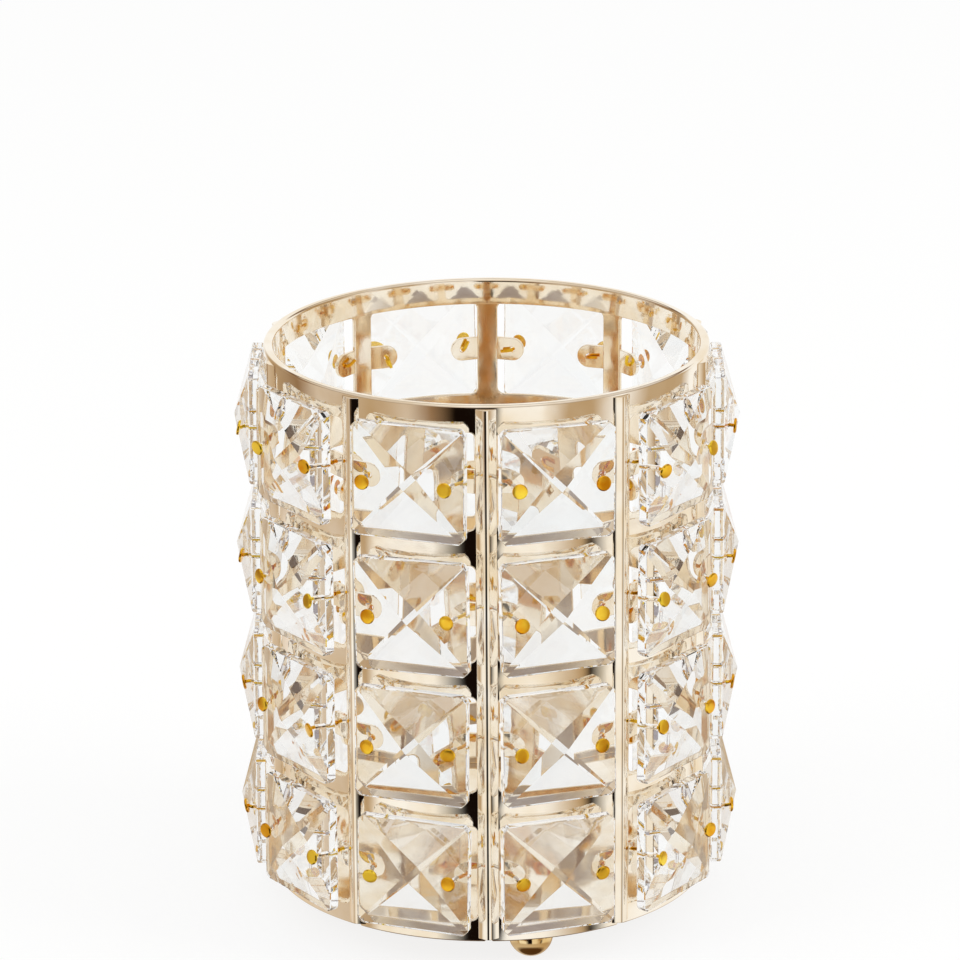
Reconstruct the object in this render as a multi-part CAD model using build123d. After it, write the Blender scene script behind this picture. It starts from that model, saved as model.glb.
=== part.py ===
from build123d import *
from math import cos, radians, sin, sqrt
import os

os.makedirs("parts", exist_ok=True)

# Layout of the cage, sizes in millimetres
columns = 10
rows = 4
cage_radius = 50.0
wall = 1.0
rim_band = 6.0
window_height = 22.3
hoop_height = 8.2
base_band = 5.2

# Rim and edge breaks
rim_thickness = 2.2
edge_break = 0.6

# Upright ridges, the strips behind them and their lugs
ridge_width = 4.4
ridge_height = 1.65
ridge_crest = 0.6
ridge_top_gap = 0.7
ridge_bottom_gap = 0.8
strip_width = 4.8
lug_height = 5.4
lug_hole = 1.2

# Crystals
crystal_size = 26.0
crystal_corner = 1.2
crystal_girdle = 2.2
crystal_rise = 4.0
crystal_hole = 1.3
hole_offset = 9.3
rest_gap = 0.2

# Head pins
pin_wire = 0.8
pin_head = 3.4
pin_head_thickness = 0.6
pin_stand_off = 2.8
pin_tail = 1.0

# Base plate and ball feet
plate_thickness = 1.0
plate_height = 2.6
plate_fit = 0.2
feet = 3
foot_diameter = 10.0
foot_flat = 3.6
foot_seat = 4.0
foot_sides = 16
foot_bands = 5
foot_band_turn = 27.0
foot_inset = 2.0
foot_angle = 12.9

# Sizes that follow
column_step = 360 / columns
row_step = window_height + hoop_height
foot_radius = foot_diameter / 2
seat_drop = sqrt(foot_radius**2 - (foot_seat / 2) ** 2)
flat_drop = sqrt(foot_radius**2 - (foot_flat / 2) ** 2)
cage_bottom = seat_drop + flat_drop - plate_height
cage_top = cage_bottom + base_band + rows * row_step - hoop_height + rim_band
plate_bottom = cage_bottom + plate_height
wall_radius = cage_radius - wall
foot_circle = wall_radius - foot_inset - foot_radius
crystal_sink = crystal_rise * (1 - window_height / crystal_size)
crystal_back = cage_radius + rest_gap + crystal_sink
crystal_face = crystal_back + crystal_girdle
half_step = radians(column_step / 2)
lug_root = cage_radius * sin(half_step) - strip_width / 2 * cos(half_step)
lug_face = cage_radius * cos(half_step) + strip_width / 2 * sin(half_step)


def window_bottom(row):
    return cage_bottom + base_band + row * row_step


def row_centre(row):
    return window_bottom(row) + window_height / 2


def facing(distance, height):
    # upright plane in front of the axis, looking outward
    return Plane(origin=(0, -distance, height), x_dir=(1, 0, 0), z_dir=(0, -1, 0))


def ring(outer, inner, bottom, height):
    section = Pos(0, 0, bottom) * Circle(outer) - Pos(0, 0, bottom) * Circle(inner)
    return extrude(section, height)


def rim_ring():
    # stout band, both top edges broken
    outline = Pos(cage_radius - rim_thickness / 2, cage_top - rim_band / 2) * Rectangle(rim_thickness, rim_band)
    tops = outline.vertices().group_by(Axis.Y)[-1]
    return revolve(Plane.XZ * chamfer(tops, edge_break), Axis.Z)


def hoop(row):
    return ring(cage_radius, wall_radius, window_bottom(row) + window_height, hoop_height)


def base_ring():
    return ring(cage_radius, wall_radius, cage_bottom, base_band)


def window_bar():
    # flat stretch of wall behind the ridge, between two hoops
    return Pos(0, wall / 2 - cage_radius, 0) * Box(strip_width, wall, window_height)


def lug():
    # flat tongue square to the pins of its crystal, springing from the corners of the bar
    tip = hole_offset - lug_height / 2
    plan = Polyline(
        (lug_root, -lug_face),
        (tip, -lug_face),
        (tip, wall * cos(half_step) - lug_face),
        (lug_root - wall * sin(half_step), wall * cos(half_step) - lug_face),
        close=True,
    )
    tongue = extrude(Pos(0, 0, -lug_height / 2) * make_face(plan), lug_height)
    blank = Pos((lug_root + tip) / 2, 0) * Rectangle(lug_root - tip, lug_height)
    blank = chamfer(blank.vertices().group_by(Axis.X)[0], lug_height * 0.29)
    blank -= Pos(hole_offset, 0) * RegularPolygon(lug_hole / 2, 4)
    return tongue & extrude(facing(lug_face, 0) * blank, -wall)


def upright():
    # ridge of triangular section on the outside, wall bars and lugs behind it
    section = Polyline(
        (-ridge_width / 2, -cage_radius),
        (-ridge_crest / 2, -cage_radius - ridge_height),
        (ridge_crest / 2, -cage_radius - ridge_height),
        (ridge_width / 2, -cage_radius),
        close=True,
    )
    low = cage_bottom + ridge_bottom_gap
    ridge = extrude(Pos(0, 0, low) * make_face(section), cage_top - ridge_top_gap - low)
    right = Rot(0, 0, -column_step / 2) * lug()
    web = (window_bar() + right + mirror(right, Plane.YZ)).solid()
    return ridge.fuse(*[Pos(0, 0, row_centre(row)) * web for row in range(rows)])


def crystal():
    # square stone with cut corners, four facets rising to a point in front and four behind
    depth = crystal_girdle + 2 * crystal_rise
    blank = chamfer(Rectangle(crystal_size, crystal_size).vertices(), crystal_corner)
    stone = extrude(Pos(0, 0, -crystal_rise) * blank, depth)
    half = crystal_size / 2
    for turn in range(4):
        front = Plane(origin=(half, 0, crystal_girdle), z_dir=(crystal_rise, 0, half))
        back = Plane(origin=(half, 0, 0), z_dir=(crystal_rise, 0, -half))
        for cut in (front, back):
            stone = split(stone, bisect_by=cut, keep=Keep.BOTTOM)
        stone = Rot(0, 0, 90) * stone
    for side in (-1, 1):
        bore = Pos(side * hole_offset, 0, -crystal_rise) * RegularPolygon(crystal_hole / 2, 4)
        stone -= extrude(bore, depth)
    return stone


def head_pin():
    # flat head standing off the stone, straight shank through stone and lug
    head = crystal_face + pin_stand_off - pin_head_thickness
    end = lug_face - wall * cos(half_step) - pin_tail
    shank = extrude(Pos(0, 0, end) * RegularPolygon(pin_wire / 2, 4), head - end)
    return shank + extrude(Pos(0, 0, head) * RegularPolygon(pin_head / 2, 6), pin_head_thickness)


def base_plate():
    return extrude(Pos(0, 0, plate_bottom) * Circle(wall_radius - plate_fit), plate_thickness)


def ball_foot():
    # ball cut in flat facets that touch its surface, level where it stands and where it carries the plate
    ball = extrude(RegularPolygon(foot_radius, foot_sides, major_radius=False), plate_bottom)
    for band in range(foot_bands):
        climb = radians((band - (foot_bands - 1) / 2) * foot_band_turn)
        for side in range(foot_sides):
            out = Vector(cos(climb), 0, sin(climb)).rotate(Axis.Z, side * 360 / foot_sides)
            touch = Vector(0, 0, flat_drop) + out * foot_radius
            ball = split(ball, bisect_by=Plane(origin=touch, z_dir=out), keep=Keep.BOTTOM)
    return ball


def foot_spots():
    return [Rot(0, 0, foot_angle + k * 360 / feet) * Pos(0, -foot_circle, 0) for k in range(feet)]


def group(pieces):
    return Compound([piece.solid() for piece in pieces])


def main():
    export_step(rim_ring(), "parts/rim_ring.step")
    for row, name in enumerate(("lower", "middle", "upper")):
        export_step(hoop(row), f"parts/{name}_hoop.step")
    export_step(base_ring(), "parts/base_ring.step")
    export_step(base_plate(), "parts/base_plate.step")
    post = upright()
    for k in range(columns):
        export_step(Rot(0, 0, k * column_step) * post, f"parts/upright_{k + 1:02d}.step")
    stone = crystal()
    pin = head_pin()
    pins = []
    for row in range(rows):
        for k in range(columns):
            turn = Rot(0, 0, (k + 0.5) * column_step)
            seat = turn * facing(crystal_back, row_centre(row)).location
            export_step(seat * stone, f"parts/crystal_row_{row + 1}_{k + 1:02d}.step")
            middle = turn * facing(0, row_centre(row)).location
            pins += [middle * Pos(side * hole_offset, 0) * pin for side in (-1, 1)]
    export_step(group(pins), "parts/crystal_pins.step")
    foot = ball_foot()
    export_step(group([spot * foot for spot in foot_spots()]), "parts/ball_feet.step")


main()
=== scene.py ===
import random
from math import asin, atan2, cos, pi, radians, sin, sqrt

import bmesh
import bpy
from mathutils import Matrix, Vector


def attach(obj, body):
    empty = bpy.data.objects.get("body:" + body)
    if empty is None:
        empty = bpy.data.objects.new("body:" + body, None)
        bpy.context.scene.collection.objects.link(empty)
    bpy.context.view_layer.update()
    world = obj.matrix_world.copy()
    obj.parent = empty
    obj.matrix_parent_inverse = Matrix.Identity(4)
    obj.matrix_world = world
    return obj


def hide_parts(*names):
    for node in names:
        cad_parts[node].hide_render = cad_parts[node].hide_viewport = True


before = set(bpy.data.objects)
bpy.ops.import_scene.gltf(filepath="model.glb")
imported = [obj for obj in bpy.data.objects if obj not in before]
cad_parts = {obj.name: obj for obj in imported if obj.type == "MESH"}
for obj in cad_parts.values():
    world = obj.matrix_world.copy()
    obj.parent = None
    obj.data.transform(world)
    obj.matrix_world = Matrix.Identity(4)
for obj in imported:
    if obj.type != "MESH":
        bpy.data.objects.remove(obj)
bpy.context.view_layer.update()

MM = 0.001

# Cage, millimetres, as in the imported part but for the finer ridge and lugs
COLUMNS, ROWS = 10, 4
RADIUS, WALL = 50.0, 1.0
RIM_BAND, WINDOW, HOOP, BASE_BAND = 6.0, 22.3, 8.2, 5.2
RIM_THICKNESS, RIM_ROUND, RIM_SIDES = 2.2, 0.7, 240
WINDOW_ROUND, ROUND_STEPS = 1.6, 5
WINDOW_EDGE_STEP = 1.2
WALL_INTO_RIM = 0.6
BAR = 4.8
# half of a ridge's section, as (across, out from the wall): thin toe, flat flank, slightly round crest
RIDGE_HALF = [(2.3, -0.05), (2.1, 0.11), (0.72, 0.99), (0.5, 1.08), (0.2, 1.14)]
RIDGE_TOP_GAP, RIDGE_BOTTOM_GAP = 0.7, 0.8
RIDGE_LEVELS, RIDGE_WANDER = 60, 0.01
LUG_HEIGHT, LUG_HOLE, LUG_THICKNESS = 5.4, 1.3, 0.9
LUG_END_STEPS = 14

# Rounds that plating and polishing leave along sharp edges
WINDOW_EDGE, STRIP_EDGE, PLATE_EDGE = 0.36, 0.12, 0.15

# Cut stones, and how far each hangs off true, in millimetres and degrees
STONE, STONE_CORNER, STONE_EDGE = 26.0, 1.2, 0.16
GIRDLE, RISE = 2.2, 4.0
BORE, BORE_STEPS, HOLE_OFFSET, REST_GAP = 1.3, 11, 9.3, 0.2
STONE_ACROSS, STONE_UP, STONE_LEAN = (-0.8, -0.3), (-0.45, 0.1), (-1.0, 1.0)

# Pins that hang them
WIRE, WIRE_SIDES = 0.8, 8
HEAD, HEAD_THICKNESS, HEAD_SIDES, STAND_OFF = 3.4, 0.6, 20, 2.8
HEAD_ACROSS, HEAD_UP, HEAD_TILT = (-0.3, 0.3), (-0.4, 0.5), (-12, 12)
MOUTH_CLEAR = 0.25
FRONT_SLACK, BACK_SLACK, LUG_SLACK = 0.15, 0.18, 0.1
TAIL_BEND, TAIL_STEPS, TAIL_START, TAIL = 0.9, 5, 0.1, 1.6

# Plate and feet
PLATE_THICKNESS, PLATE_HEIGHT, PLATE_FIT = 1.0, 2.6, 0.2
PLATE_SIDES, FOOT_SIDES, FOOT_BANDS = 180, 40, 18
FEET, FOOT, FOOT_FLAT, FOOT_SEAT, FOOT_ANGLE, FOOT_CIRCLE = 3, 10.0, 3.6, 4.0, 12.9, 42.0

# Sizes that follow
STEP = 360 / COLUMNS
HALF = radians(STEP / 2)
FOOT_R = FOOT / 2
FLAT_DROP = sqrt(FOOT_R**2 - (FOOT_FLAT / 2) ** 2)
SEAT_DROP = sqrt(FOOT_R**2 - (FOOT_SEAT / 2) ** 2)
PLATE_BOTTOM = SEAT_DROP + FLAT_DROP
BOTTOM = PLATE_BOTTOM - PLATE_HEIGHT
TOP = BOTTOM + BASE_BAND + ROWS * (WINDOW + HOOP) - HOOP + RIM_BAND
STONE_BACK = RADIUS + REST_GAP + RISE * (1 - WINDOW / STONE)
STONE_FACE = STONE_BACK + GIRDLE
BORE_MOUTH = RISE * (1 - HOLE_OFFSET / (STONE / 2))
LUG_ROOT = RADIUS * sin(HALF) - BAR / 2 * cos(HALF)
LUG_FACE = RADIUS * cos(HALF) + BAR / 2 * sin(HALF)
HEAD_R = HEAD / 2
# the header leaves the head's face a little domed, as (radius, out)
HEAD_PROFILE = [
    (0.0, 0.0),
    (HEAD_R - 0.15, 0.0),
    (HEAD_R, 0.15),
    (HEAD_R, HEAD_THICKNESS - 0.2),
    (HEAD_R - 0.2, HEAD_THICKNESS),
    (HEAD_R - 0.5, HEAD_THICKNESS + 0.04),
    (HEAD_R - 0.9, HEAD_THICKNESS + 0.06),
    (0.0, HEAD_THICKNESS + 0.07),
]

chance = random.Random(7)


def window_bottom(row):
    return BOTTOM + BASE_BAND + row * (WINDOW + HOOP)


def row_centre(row):
    return window_bottom(row) + WINDOW / 2


def turned(degrees):
    return Matrix.Rotation(radians(degrees), 4, "Z")


def drawn_lots(*ranges):
    return [chance.uniform(*limits) for limits in ranges]


# Meshes


def finish_mesh(name, build, flat=False, crease=32):
    # the mesh in metres, smooth but for edges sharper than the crease angle
    build.transform(Matrix.Scale(MM, 4))
    bmesh.ops.recalc_face_normals(build, faces=build.faces)
    for face in build.faces:
        face.smooth = not flat
    for edge in build.edges:
        edge.smooth = len(edge.link_faces) == 2 and edge.calc_face_angle(pi) < radians(crease)
    mesh = bpy.data.meshes.new(name)
    build.to_mesh(mesh)
    build.free()
    return mesh


def linked(name, data):
    made = bpy.data.objects.new(name, data)
    bpy.context.scene.collection.objects.link(made)
    return made


def place(name, mesh, material, nodes, matrix=None):
    # the matrix goes into the mesh, so that the piece's own box is a tight one
    piece = linked(name, mesh)
    if matrix is not None:
        mesh.transform(matrix)
    mesh.materials.append(material)
    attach(piece, "root")
    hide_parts(*nodes)
    return piece


def soften(piece, width, segments=2):
    # a small round along the sharp edges
    rounding = piece.modifiers.new("edge_round", "BEVEL")
    rounding.width = width * MM
    rounding.segments = segments
    rounding.limit_method = "ANGLE"
    rounding.angle_limit = radians(35)


def arc_points(centre, radius, start, end, count):
    angles = [radians(start + (end - start) * k / count) for k in range(count + 1)]
    return [(centre[0] + radius * cos(a), centre[1] + radius * sin(a)) for a in angles]


def move_new(build, before, matrix):
    # moves what was built since, and nothing else
    bmesh.ops.transform(build, matrix=matrix, verts=[v for v in build.verts if v not in before])


def lathe(build, profile, steps):
    # closed profile of (radius, height) turned about the upright axis
    rings = []
    for k in range(steps):
        turn = 2 * pi * k / steps
        rings.append([
            build.verts.new((r * sin(turn), -r * cos(turn), z)) if r > 1e-6 else None for r, z in profile
        ])
    poles = {i: build.verts.new((0, 0, z)) for i, (r, z) in enumerate(profile) if r <= 1e-6}
    count = len(profile)
    for k in range(steps):
        here, after = rings[k], rings[(k + 1) % steps]
        for i in range(count):
            j = (i + 1) % count
            if i in poles and j in poles:
                continue
            corners = [here[i] or poles[i], here[j] or poles[j], after[j] or poles[j], after[i] or poles[i]]
            build.faces.new(list(dict.fromkeys(corners)))


def bridge(build, rings):
    # faces between closed rings of as many points each
    count = len(rings[0])
    for a, b in zip(rings, rings[1:]):
        for s in range(count):
            t = (s + 1) % count
            build.faces.new(list(dict.fromkeys((a[s], a[t], b[t], b[s]))))


def prism(build, outline, low, high, matrix):
    # closed outline in x, y raised from low to high
    bottom = [build.verts.new((x, y, low)) for x, y in outline]
    top = [build.verts.new((x, y, high)) for x, y in outline]
    build.faces.new(bottom)
    build.faces.new(top)
    bridge(build, [bottom, top])
    bmesh.ops.transform(build, matrix=matrix, verts=bottom + top)


def tube(build, path, radius, sides):
    # round wire along a path of points, closed at both ends
    rings = []
    across = (path[1] - path[0]).normalized().orthogonal().normalized()
    for k, point in enumerate(path):
        along = (path[min(k + 1, len(path) - 1)] - path[max(k - 1, 0)]).normalized()
        across = (across - along * across.dot(along)).normalized()
        other = along.cross(across)
        turns = [2 * pi * s / sides for s in range(sides)]
        rings.append([build.verts.new(point + radius * (across * cos(a) + other * sin(a))) for a in turns])
    bridge(build, rings)
    build.faces.new(rings[0])
    build.faces.new(rings[-1])


# Materials


def linear(code):
    # sRGB hex to the linear colour that a shader takes
    parts = [int(code[i:i + 2], 16) / 255 for i in (1, 3, 5)]
    return tuple(p / 12.92 if p <= 0.04045 else ((p + 0.055) / 1.055) ** 2.4 for p in parts) + (1.0,)


def add(tree, kind, settings=None, **inputs):
    # one node with its settings, its values and its links; _0 is the input with index 0
    made = tree.nodes.new("ShaderNode" + kind)
    for key, value in (settings or {}).items():
        setattr(made, key, value)
    for key, value in inputs.items():
        socket = made.inputs[int(key[1:])] if key[0] == "_" else made.inputs[key.replace("_", " ")]
        if isinstance(value, bpy.types.NodeSocket):
            tree.links.new(value, socket)
        else:
            socket.default_value = value
    return made


def noise(tree, spot, size_mm, detail, roughness=0.5):
    # features of about this size
    return add(
        tree, "TexNoise", Vector=spot, Scale=1 / (size_mm * MM), Detail=detail, Roughness=roughness,
    ).outputs["Fac"]


def spread(tree, value, low, high, to_low=0.0, to_high=1.0):
    # one range of values onto another, held at both ends
    return add(
        tree, "MapRange", Value=value, From_Min=low, From_Max=high, To_Min=to_low, To_Max=to_high,
    ).outputs["Result"]


def ramp(tree, share, stops):
    # colour by position, from pairs of (position, hex)
    made = add(tree, "ValToRGB", Fac=share)
    elements = made.color_ramp.elements
    for k, (position, code) in enumerate(stops):
        stop = elements[k] if k < 2 else elements.new(position)
        stop.position = position
        stop.color = linear(code)
    return made.outputs["Color"]


def bump(tree, height, depth_mm, **below):
    return add(tree, "Bump", Height=height, Strength=1.0, Distance=depth_mm * MM, **below).outputs["Normal"]


def maths(tree, operation, one, other):
    return add(tree, "Math", {"operation": operation}, _0=one, _1=other).outputs[0]


def blend(tree, share, one, other):
    # colours, the other one where the share is 1
    return add(tree, "Mix", {"data_type": "RGBA"}, _0=share, _6=one, _7=other).outputs[2]


def blank_material(name):
    made = bpy.data.materials.new(name)
    made.use_nodes = True
    made.node_tree.nodes.clear()
    return made, made.node_tree


def gold_plating(name, light, deep, patch_mm, rough_low, rough_high, wave_mm, wave_depth_mm, drawn=1.0):
    # stamped steel, polished and plated in pale gold: mirror bright, a little wavy from the press,
    # with a breath of handling haze and a warmer tone where the plating is thinner
    made, tree = blank_material(name)
    spot = add(tree, "TexCoord").outputs["Object"]
    tone = ramp(tree, noise(tree, spot, patch_mm, 3.0, 0.55), [(0.38, deep), (0.62, light)])
    rough = spread(tree, noise(tree, spot, 3.5, 4.0, 0.6), 0.3, 0.75, rough_low, rough_high)
    # waves run along a strip that was drawn through rollers
    along = add(tree, "Mapping", Vector=spot, Scale=(1.0, 1.0, 1.0 / drawn)).outputs[0]
    pressed = bump(tree, noise(tree, along, wave_mm, 1.5, 0.4), wave_depth_mm)
    # grain of the polish, drawn as coarse as it needs to show
    polished = bump(tree, noise(tree, spot, 0.35, 2.0), 0.0012, Normal=pressed)
    metal = add(tree, "BsdfPrincipled", Base_Color=tone, Metallic=1.0, Roughness=rough, Normal=polished)
    add(tree, "OutputMaterial", Surface=metal.outputs["BSDF"])
    return made


def cut_crystal():
    # machine-cut crystal glass, clear and polished on every facet, with the faint drag of the polishing wheel
    made, tree = blank_material("cut_crystal_glass")
    spot = add(tree, "TexCoord").outputs["Object"]
    tint = ramp(tree, noise(tree, spot, 20.0, 1.0), [(0.0, "#F7FAFB"), (1.0, "#FFFDFB")])
    wheel = bump(tree, noise(tree, spot, 5.0, 1.0), 0.003)
    smear = spread(tree, noise(tree, spot, 6.0, 2.0), 0.45, 0.8, 0.0, 0.02)
    glass = add(
        tree, "BsdfPrincipled", Base_Color=tint, Transmission_Weight=1.0, IOR=1.54,
        Roughness=smear, Normal=wheel,
    )
    add(tree, "OutputMaterial", Surface=glass.outputs["BSDF"])
    return made


plated_gold = gold_plating("gold_plated_pressed_steel", "#FBF2E2", "#F0DEC0", 16.0, 0.03, 0.09, 7.0, 0.04)
plated_post = gold_plating("gold_plated_ridged_strip", "#FBF3E4", "#F0DDBE", 18.0, 0.02, 0.06, 2.5, 0.012, 6.0)
pin_gold = gold_plating("gilt_brass_pin_wire", "#FFDC48", "#E69A14", 9.0, 0.14, 0.24, 1.5, 0.01)
foot_gold = gold_plating("gold_plated_turned_ball", "#F0D6A2", "#DDB878", 12.0, 0.03, 0.08, 4.0, 0.006)
crystal = cut_crystal()


# Cage


def subdivided(a, b, spacing):
    # points between two, without the two themselves
    count = max(1, round(sqrt((b[0] - a[0]) ** 2 + (b[1] - a[1]) ** 2) / spacing))
    return [(a[0] + (b[0] - a[0]) * k / count, a[1] + (b[1] - a[1]) * k / count) for k in range(1, count)]


def window_corners():
    # rounded corners of a window, from the lower right one round, as (across, up) from its centre
    straight_w = RADIUS * HALF - BAR / 2 - WINDOW_ROUND
    straight_h = WINDOW / 2 - WINDOW_ROUND
    return [
        arc_points((side * straight_w, end * straight_h), WINDOW_ROUND, start, start + 90, ROUND_STEPS)
        for side, end, start in ((1, -1, -90), (1, 1, 0), (-1, 1, 90), (-1, -1, 180))
    ]


def round_the_corner(corner, side, edge, from_hoop):
    # a point on the border of the cell for each point of a window's corner: half of them
    # on the hoop's middle line at this height, half on the middle line of the bar
    reach = RADIUS * HALF
    straight = reach - BAR / 2 - WINDOW_ROUND
    last = len(corner) - 1
    border = []
    for k in range(last + 1):
        share = min(k, last - k) / (last / 2)
        first_half = k < last / 2
        if first_half == from_hoop:
            border.append((side * (straight + (reach - straight) * share), edge))
        else:
            foot = corner[0 if first_half else -1][1]
            border.append((side * reach, foot + (edge - foot) * share))
    return border


def window_cells(build, row, low, high):
    # one row of windows: each a ring of faces from its rounded edge out to the middle of the bars and hoops
    corners = window_corners()
    reach = RADIUS * HALF
    centre = row_centre(row)
    low, high = low - centre, high - centre
    inner, outer = [], []
    for i, corner in enumerate(corners):
        side = (1, 1, -1, -1)[i]
        edge = (low, high, high, low)[i]
        from_hoop = i in (0, 2)
        inner += corner
        outer += round_the_corner(corner, side, edge, from_hoop)
        for u, w in subdivided(corner[-1], corners[(i + 1) % 4][0], WINDOW_EDGE_STEP):
            inner.append((u, w))
            outer.append((side * reach, w) if from_hoop else (u, edge))
    for column in range(COLUMNS):
        middle = radians((column + 0.5) * STEP)
        rings = []
        for points in (inner, outer):
            spots = [(middle + u / RADIUS, centre + w) for u, w in points]
            rings.append([build.verts.new((RADIUS * sin(a), -RADIUS * cos(a), z)) for a, z in spots])
        bridge(build, rings)


def cage_wall():
    build = bmesh.new()
    for row in range(ROWS):
        low = BOTTOM if row == 0 else window_bottom(row) - HOOP / 2
        high = window_bottom(row) + WINDOW + HOOP / 2
        if row == ROWS - 1:
            high = TOP - RIM_BAND + WALL_INTO_RIM
        window_cells(build, row, low, high)
    bmesh.ops.remove_doubles(build, verts=build.verts, dist=0.01)
    mesh = finish_mesh("cage_wall", build)
    nodes = ["upper_hoop", "middle_hoop", "lower_hoop", "base_ring"]
    wall = place("cage_wall", mesh, plated_gold, nodes)
    thick = wall.modifiers.new("sheet", "SOLIDIFY")
    thick.thickness = WALL * MM
    thick.offset = -1.0
    thick.use_even_offset = True
    soften(wall, WINDOW_EDGE, 3)


def rim():
    # stout top band with both top edges rounded over
    inner = RADIUS - RIM_THICKNESS
    low, shoulder = TOP - RIM_BAND, TOP - RIM_ROUND
    profile = [(inner, low), (RADIUS, low)]
    profile += arc_points((RADIUS - RIM_ROUND, shoulder), RIM_ROUND, 0, 90, ROUND_STEPS)
    profile += arc_points((inner + RIM_ROUND, shoulder), RIM_ROUND, 90, 180, ROUND_STEPS)
    build = bmesh.new()
    lathe(build, profile, RIM_SIDES)
    piece = place("rim_band", finish_mesh("rim_band", build), plated_gold, ["rim_ring"])
    soften(piece, STRIP_EDGE)


def lug(build, side, matrix):
    # tongue from the bar's corner to a round end about its hole: rings of faces between outline and hole
    half = LUG_HEIGHT / 2
    end = arc_points((HOLE_OFFSET, 0), half, 90, 270, LUG_END_STEPS)
    outline = [(side * x, z) for x, z in [(LUG_ROOT, half)] + end + [(LUG_ROOT, -half)]]
    angles = [atan2(z, x - side * HOLE_OFFSET) for x, z in outline]
    hole = [(side * HOLE_OFFSET + LUG_HOLE / 2 * cos(a), LUG_HOLE / 2 * sin(a)) for a in angles]
    before = set(build.verts)
    front, back = -LUG_FACE, LUG_THICKNESS - LUG_FACE
    loops = ((outline, front), (hole, front), (hole, back), (outline, back))
    rings = [[build.verts.new((x, y, z)) for x, z in points] for points, y in loops]
    bridge(build, rings + rings[:1])
    move_new(build, before, matrix)


def upright(index):
    # ridge down the outside of the wall, with its eight lugs behind the stones
    build = bmesh.new()
    low, high = BOTTOM + RIDGE_BOTTOM_GAP, TOP - RIDGE_TOP_GAP
    # two flat flanks and a crest that the rollers left slightly round
    half = [(x, -RADIUS - y) for x, y in RIDGE_HALF]
    section = [(-x, y) for x, y in half] + half[::-1]
    feet_of_section = (0, len(section) - 1)
    rings = []
    for k in range(RIDGE_LEVELS + 1):
        z = low + (high - low) * k / RIDGE_LEVELS
        ring = []
        for i, (x, y) in enumerate(section):
            # all but the two feet wander a little between the ends
            if 0 < k < RIDGE_LEVELS and i not in feet_of_section:
                x += chance.uniform(-RIDGE_WANDER, RIDGE_WANDER)
            ring.append(build.verts.new((x, y, z)))
        rings.append(ring)
    bridge(build, rings)
    build.faces.new(rings[0])
    build.faces.new(rings[-1])
    for row in range(ROWS):
        for side in (-1, 1):
            lug(build, -side, turned(side * STEP / 2) @ Matrix.Translation((0, 0, row_centre(row))))
    name, node = f"upright_post_{index + 1:02d}", f"upright_{index + 1:02d}"
    piece = place(name, finish_mesh(name, build), plated_post, [node], turned(index * STEP))
    soften(piece, STRIP_EDGE)


# Stones and pins


def stone_blank():
    # cut corners, four facets to a point in front and four behind; distance outward is -y
    half, cut = STONE / 2, STONE_CORNER
    outline = []
    for sx, sy in ((1, -1), (1, 1), (-1, 1), (-1, -1)):
        ends = [(sx * half, sy * (half - cut)), (sx * (half - cut), sy * half)]
        outline += ends if sx * sy < 0 else ends[::-1]
    build = bmesh.new()
    for u, w in outline:
        build.verts.new((u, 0, w))
        build.verts.new((u, -GIRDLE, w))
    # where two facets and the cut corner meet, the facets run on to the corner's middle
    mid, dip = half - cut / 2, RISE * cut / 2 / half
    for sx in (-1, 1):
        for sy in (-1, 1):
            build.verts.new((sx * mid, -(GIRDLE + dip), sy * mid))
            build.verts.new((sx * mid, dip, sy * mid))
    points = [build.verts.new((0, -(GIRDLE + RISE), 0)), build.verts.new((0, RISE, 0))]
    bmesh.ops.convex_hull(build, input=build.verts)
    bmesh.ops.dissolve_limit(build, angle_limit=radians(0.5), verts=build.verts, edges=build.edges)
    border = [e for e in build.edges if not any(v in points for v in e.verts)]
    bmesh.ops.bevel(build, geom=border, offset=STONE_EDGE, segments=1, affect="EDGES", profile=0.5)
    return linked("stone_blank", finish_mesh("stone_blank", build, flat=True))


def stone_drill():
    build = bmesh.new()
    past = RISE + 1
    for side in (-1, 1):
        circle = arc_points((side * HOLE_OFFSET, 0), BORE / 2, 0, 330, BORE_STEPS)
        prism(build, circle, -past, GIRDLE + past, Matrix.Rotation(radians(90), 4, "X"))
    return linked("stone_drill", finish_mesh("stone_drill", build, flat=True))


def stone_mesh():
    # one stone with its two bores cut, for all forty
    blank, drill = stone_blank(), stone_drill()
    bore = blank.modifiers.new("bores", "BOOLEAN")
    bore.operation = "DIFFERENCE"
    bore.solver = "EXACT"
    bore.object = drill
    bpy.context.view_layer.update()
    mesh = bpy.data.meshes.new_from_object(blank.evaluated_get(bpy.context.evaluated_depsgraph_get()))
    mesh.name = "cut_stone"
    mesh.materials.clear()
    for polygon in mesh.polygons:
        polygon.use_smooth = False
    bpy.data.objects.remove(blank)
    bpy.data.objects.remove(drill)
    return mesh


def hang_stones():
    # each stone hangs a little off true on its pins; how far is handed on to them
    mesh = stone_mesh()
    seats = {}
    for row in range(ROWS):
        for column in range(COLUMNS):
            across, up, lean = drawn_lots(STONE_ACROSS, STONE_UP, STONE_LEAN)
            seats[row, column] = across, up, radians(lean)
            matrix = (
                turned((column + 0.5) * STEP)
                @ Matrix.Translation(Vector((across, -STONE_BACK, row_centre(row) + up)) * MM)
                @ Matrix.Rotation(radians(lean), 4, "Y")
            )
            label = f"row_{row + 1}_{column + 1:02d}"
            place(f"stone_{label}", mesh.copy(), crystal, [f"crystal_{label}"], matrix)
    return seats


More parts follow.
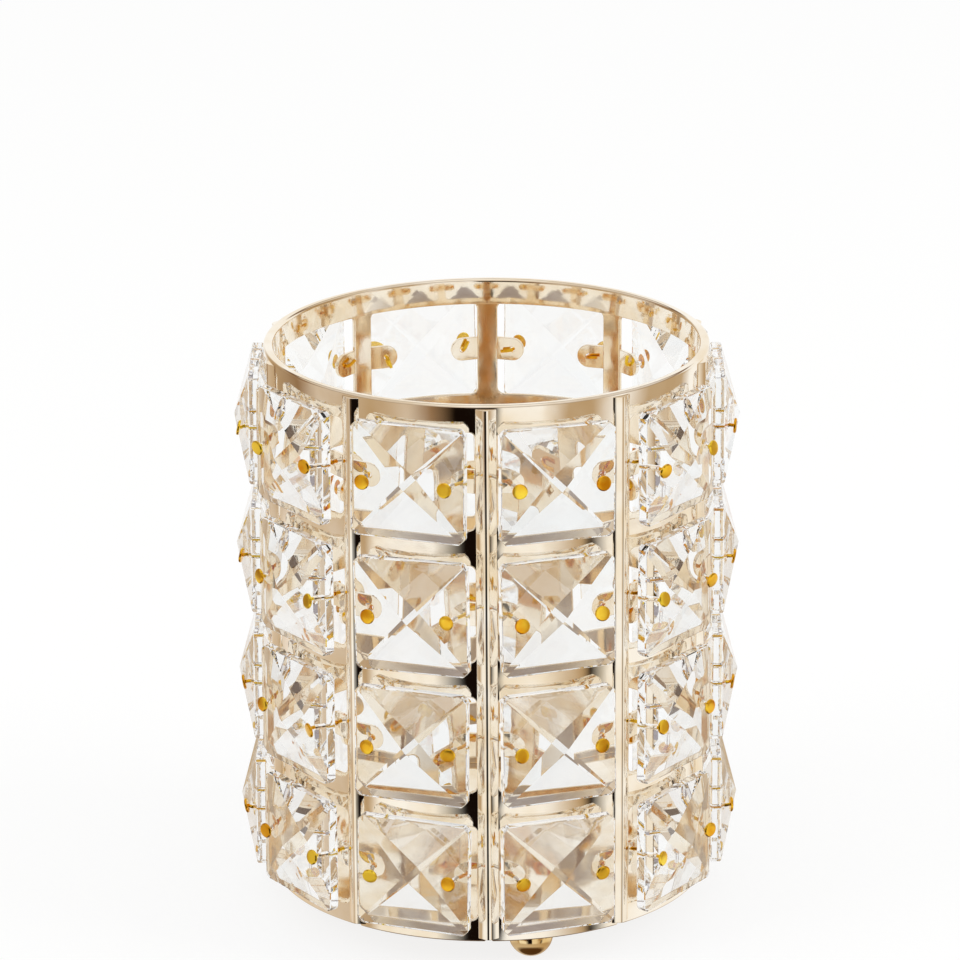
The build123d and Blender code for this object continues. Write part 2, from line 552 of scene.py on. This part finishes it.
def shank_path(x, centre, bore, tip):
    # from the head through the bore and the lug's hole, then turned over behind the lug
    slack = (bore - Vector((x, 0, 0))).normalized()
    behind = LUG_THICKNESS - LUG_FACE + TAIL_START
    # the facets slope at the bore, so the wire bends only a little clear of its mouths
    path = [
        centre,
        bore + slack * FRONT_SLACK - Vector((0, STONE_FACE + BORE_MOUTH + MOUTH_CLEAR, 0)),
        bore - slack * BACK_SLACK - Vector((0, STONE_BACK - BORE_MOUTH - MOUTH_CLEAR, 0)),
        Vector((x, -LUG_FACE, 0)) + slack * LUG_SLACK,
        Vector((x, behind, 0)),
    ]
    out = Vector((cos(tip), 0, sin(tip)))
    for k in range(1, TAIL_STEPS + 1):
        a = radians(90 * k / TAIL_STEPS)
        path.append(Vector((x, behind + TAIL_BEND * sin(a), 0)) + out * TAIL_BEND * (1 - cos(a)))
    path.append(path[-1] + out * TAIL)
    return path


def pin_head(build, centre, tilt):
    turns = [2 * pi * s / HEAD_SIDES for s in range(HEAD_SIDES)]
    rings = []
    for radius, rise in HEAD_PROFILE:
        spots = [centre + tilt @ Vector((radius * cos(a), -rise, radius * sin(a))) for a in turns]
        if radius:
            rings.append([build.verts.new(spot) for spot in spots])
        else:
            rings.append([build.verts.new(spots[0])] * HEAD_SIDES)
    bridge(build, rings)


def pin(build, side, seat, matrix):
    # flat head, and shank through the bore of its stone and the hole of its lug
    x = side * HOLE_OFFSET
    across, up, lean = seat
    bore = Vector((x * cos(lean) + across, 0, up - x * sin(lean)))
    head = STONE_FACE + STAND_OFF - HEAD_THICKNESS
    sway_across, sway_up, nod, turn = drawn_lots(HEAD_ACROSS, HEAD_UP, HEAD_TILT, HEAD_TILT)
    tilt = Matrix.Rotation(radians(nod), 3, "X") @ Matrix.Rotation(radians(turn), 3, "Z")
    centre = bore + Vector((sway_across, -head, sway_up))
    tip = radians(chance.uniform(0, 360))
    before = set(build.verts)
    tube(build, shank_path(x, centre, bore, tip), WIRE / 2, WIRE_SIDES)
    pin_head(build, centre, tilt)
    move_new(build, before, matrix)


def hang_pins(seats):
    build = bmesh.new()
    for (row, column), seat in seats.items():
        matrix = turned((column + 0.5) * STEP) @ Matrix.Translation((0, 0, row_centre(row)))
        for side in (-1, 1):
            pin(build, side, seat, matrix)
    place("head_pins", finish_mesh("head_pins", build), pin_gold, ["crystal_pins"])


# Plate and feet


def plate():
    radius = RADIUS - WALL - PLATE_FIT
    top = PLATE_BOTTOM + PLATE_THICKNESS
    build = bmesh.new()
    lathe(build, [(0, PLATE_BOTTOM), (radius, PLATE_BOTTOM), (radius, top), (0, top)], PLATE_SIDES)
    piece = place("base_disc", finish_mesh("base_disc", build), plated_gold, ["base_plate"])
    soften(piece, PLATE_EDGE)


def feet():
    # turned balls, level where they stand and where they carry the plate
    build = bmesh.new()
    start, end = -asin(FLAT_DROP / FOOT_R), asin(SEAT_DROP / FOOT_R)
    angles = [start + (end - start) * k / FOOT_BANDS for k in range(FOOT_BANDS + 1)]
    ball = [(FOOT_R * cos(a), FLAT_DROP + FOOT_R * sin(a)) for a in angles]
    for foot in range(FEET):
        before = set(build.verts)
        lathe(build, [(0, 0)] + ball + [(0, PLATE_BOTTOM)], FOOT_SIDES)
        matrix = turned(FOOT_ANGLE + foot * 360 / FEET) @ Matrix.Translation((0, -FOOT_CIRCLE, 0))
        move_new(build, before, matrix)
    mesh = finish_mesh("ball_feet_turned", build, crease=50)
    place("ball_feet_turned", mesh, foot_gold, ["ball_feet"])


cage_wall()
rim()
for post in range(COLUMNS):
    upright(post)
hang_pins(hang_stones())
plate()
feet()


# Camera, floor and light, in metres

WHITE, CREAM, PALE, TAN = "#FFFFFF", "#F0E6DC", "#D8CCC0", "#C0A888"
UMBER, UMBER_SOFT, UMBER_DEEP, DARK = "#987C60", "#80644C", "#584028", "#140C08"
CEILING, DIM_WHITE = "#DCD4CC", "#A0989B"
TABLE_HALF, TABLE_WHITE = 3.0, 0.82
SOFT_LIGHT = 0.85

# What the bright metal mirrors: broad panels, by heading in degrees from the front toward +X,
# low down by the foot of the table and further off
NEAR_PANELS = [
    (-150, TAN), (-130, CREAM), (-80, PALE), (-66, TAN), (-60, WHITE), (-28, WHITE),
    (-12, DARK), (5, DARK), (8, WHITE), (28, WHITE), (50, TAN), (55, DARK),
    (66, WHITE), (130, WHITE), (150, TAN),
]
FAR_PANELS = [
    (-160, WHITE), (-145, TAN), (-112, UMBER), (-95, PALE), (-60, TAN), (-40, PALE),
    (-28, UMBER), (-16, DARK), (4, DARK), (8, WHITE), (28, WHITE), (42, TAN), (55, TAN),
    (72, WHITE), (90, TAN), (118, TAN), (128, WHITE),
]
# above and below them, by the height of the direction: overhead a small white panel in a pale ceiling,
# straight below the table in the object's own shade
ABOVE_AND_BELOW = [
    (-0.88, UMBER_DEEP), (-0.76, PALE), (0.40, UMBER_SOFT), (0.56, UMBER_SOFT),
    (0.60, CEILING), (0.90, CEILING), (0.97, WHITE),
]
NEAR_FAR, PANEL_TOP, PANEL_FOOT = (-0.325, -0.312), (0.44, 0.50), (-0.50, -0.60)
ROOM_FRONT = (-0.85, -0.2)


def camera():
    # fitted to the rim, the base edge and the uprights of the photograph
    distance, height = 1.096582, 0.46392
    pitch, yaw, roll, turn = radians(18.439), radians(-0.085), radians(-0.359), radians(0.261)
    look = Vector((sin(yaw) * cos(pitch), cos(yaw) * cos(pitch), -sin(pitch)))
    level = Vector((cos(yaw), -sin(yaw), 0))
    up = level.cross(look)
    right = cos(roll) * level + sin(roll) * up
    upward = -sin(roll) * level + cos(roll) * up
    axes = Matrix((right, upward, -look)).transposed().to_4x4()
    data = bpy.data.cameras.new("photo_camera")
    data.sensor_width = 36.0
    data.lens = 191.69
    data.clip_start, data.clip_end = 0.05, 20.0
    made = linked("photo_camera", data)
    made.matrix_world = Matrix.Rotation(turn, 4, "Z") @ Matrix.Translation((0, -distance, height)) @ axes
    bpy.context.scene.camera = made


def floor():
    made, tree = blank_material("white_table_top")
    rays = add(tree, "LightPath").outputs
    matt = add(tree, "BsdfDiffuse", Color=linear("#F4F4F2"))
    plain = add(tree, "Emission", Color=linear(WHITE), Strength=1.0)
    # plain white to the camera and through glass, but for the share that keeps the shadow
    seen = maths(tree, "MAXIMUM", rays["Is Camera Ray"], rays["Is Transmission Ray"])
    share = maths(tree, "MULTIPLY", seen, TABLE_WHITE)
    mixed = add(tree, "MixShader", Fac=share, _1=matt.outputs[0], _2=plain.outputs[0])
    add(tree, "OutputMaterial", Surface=mixed.outputs[0])
    build = bmesh.new()
    corners = ((-1, -1), (1, -1), (1, 1), (-1, 1))
    build.faces.new([build.verts.new((x * TABLE_HALF, y * TABLE_HALF, 0)) for x, y in corners])
    mesh = bpy.data.meshes.new("table_top")
    build.to_mesh(mesh)
    build.free()
    mesh.materials.append(made)
    top = linked("table_top", mesh)
    top.visible_glossy = False


def by_heading(tree, share, panels):
    return ramp(tree, share, [((heading + 180) / 360, code) for heading, code in panels])


def mirrored_room(tree, x, y, z):
    # panels round the table, and what is above and below them
    turn = maths(tree, "ARCTAN2", x, maths(tree, "MULTIPLY", y, -1.0))
    share = spread(tree, turn, -pi, pi)
    near, far = by_heading(tree, share, NEAR_PANELS), by_heading(tree, share, FAR_PANELS)
    panels = blend(tree, spread(tree, z, *NEAR_FAR), near, far)
    height = spread(tree, z, -1.0, 1.0)
    ends = ramp(tree, height, [((level + 1) / 2, code) for level, code in ABOVE_AND_BELOW])
    clear = maths(tree, "MAXIMUM", spread(tree, z, *PANEL_TOP), spread(tree, z, *PANEL_FOOT))
    return blend(tree, clear, panels, ends)


def studio():
    # soft white room; the camera sees it plain white, the metal sees the panels
    world = bpy.data.worlds.new("soft_studio")
    bpy.context.scene.world = world
    world.use_nodes = True
    tree = world.node_tree
    tree.nodes.clear()
    rays = add(tree, "LightPath").outputs
    x, y, z = add(tree, "SeparateXYZ", Vector=add(tree, "TexCoord").outputs["Generated"]).outputs
    gloss = add(tree, "Background", Color=mirrored_room(tree, x, y, z), Strength=1.0)
    # the glass sees the white room behind and its dimmer front
    front = spread(tree, y, *ROOM_FRONT, 1.0, 0.0)
    through = blend(tree, front, linear(WHITE), linear(DIM_WHITE))
    veiled = blend(tree, rays["Is Camera Ray"], through, linear(WHITE))
    plain = add(tree, "Background", Color=veiled, Strength=1.0)
    soft = add(tree, "Background", Color=linear(WHITE), Strength=SOFT_LIGHT)
    shown = maths(tree, "MAXIMUM", rays["Is Camera Ray"], rays["Is Transmission Ray"])
    room = add(tree, "MixShader", Fac=shown, _1=soft.outputs[0], _2=plain.outputs[0])
    # a ray that went through the glass counts as glossy too, so it is taken out here
    mirrored = add(
        tree, "Math", {"operation": "SUBTRACT", "use_clamp": True},
        _0=rays["Is Glossy Ray"], _1=rays["Is Transmission Ray"],
    )
    mixed = add(tree, "MixShader", Fac=mirrored.outputs[0], _1=room.outputs[0], _2=gloss.outputs[0])
    add(tree, "OutputWorld", Surface=mixed.outputs[0])


def lamp(name, position, size, power):
    # broad and even, aimed at the middle of the cup, and not seen itself in the metal or the glass
    data = bpy.data.lights.new(name, "AREA")
    data.shape = "RECTANGLE"
    data.size, data.size_y = size
    data.energy = power
    made = linked(name, data)
    made.visible_glossy = False
    made.visible_transmission = False
    spot, middle = Vector(position), Vector((0, 0, 0.07))
    aim = (middle - spot).to_track_quat("-Z", "Y").to_matrix().to_4x4()
    made.matrix_world = Matrix.Translation(spot) @ aim


bpy.context.scene.view_settings.view_transform = "Standard"
# light crosses many facets before it leaves the stones
bpy.context.scene.cycles.max_bounces = 32
bpy.context.scene.cycles.glossy_bounces = 16
bpy.context.scene.cycles.transmission_bounces = 28
camera()
floor()
studio()
lamp("left_softbox", (-1.1, -0.5, 0.9), (0.7, 0.9), 6.0)
lamp("right_softbox", (1.2, -0.3, 0.8), (0.7, 0.9), 8.0)
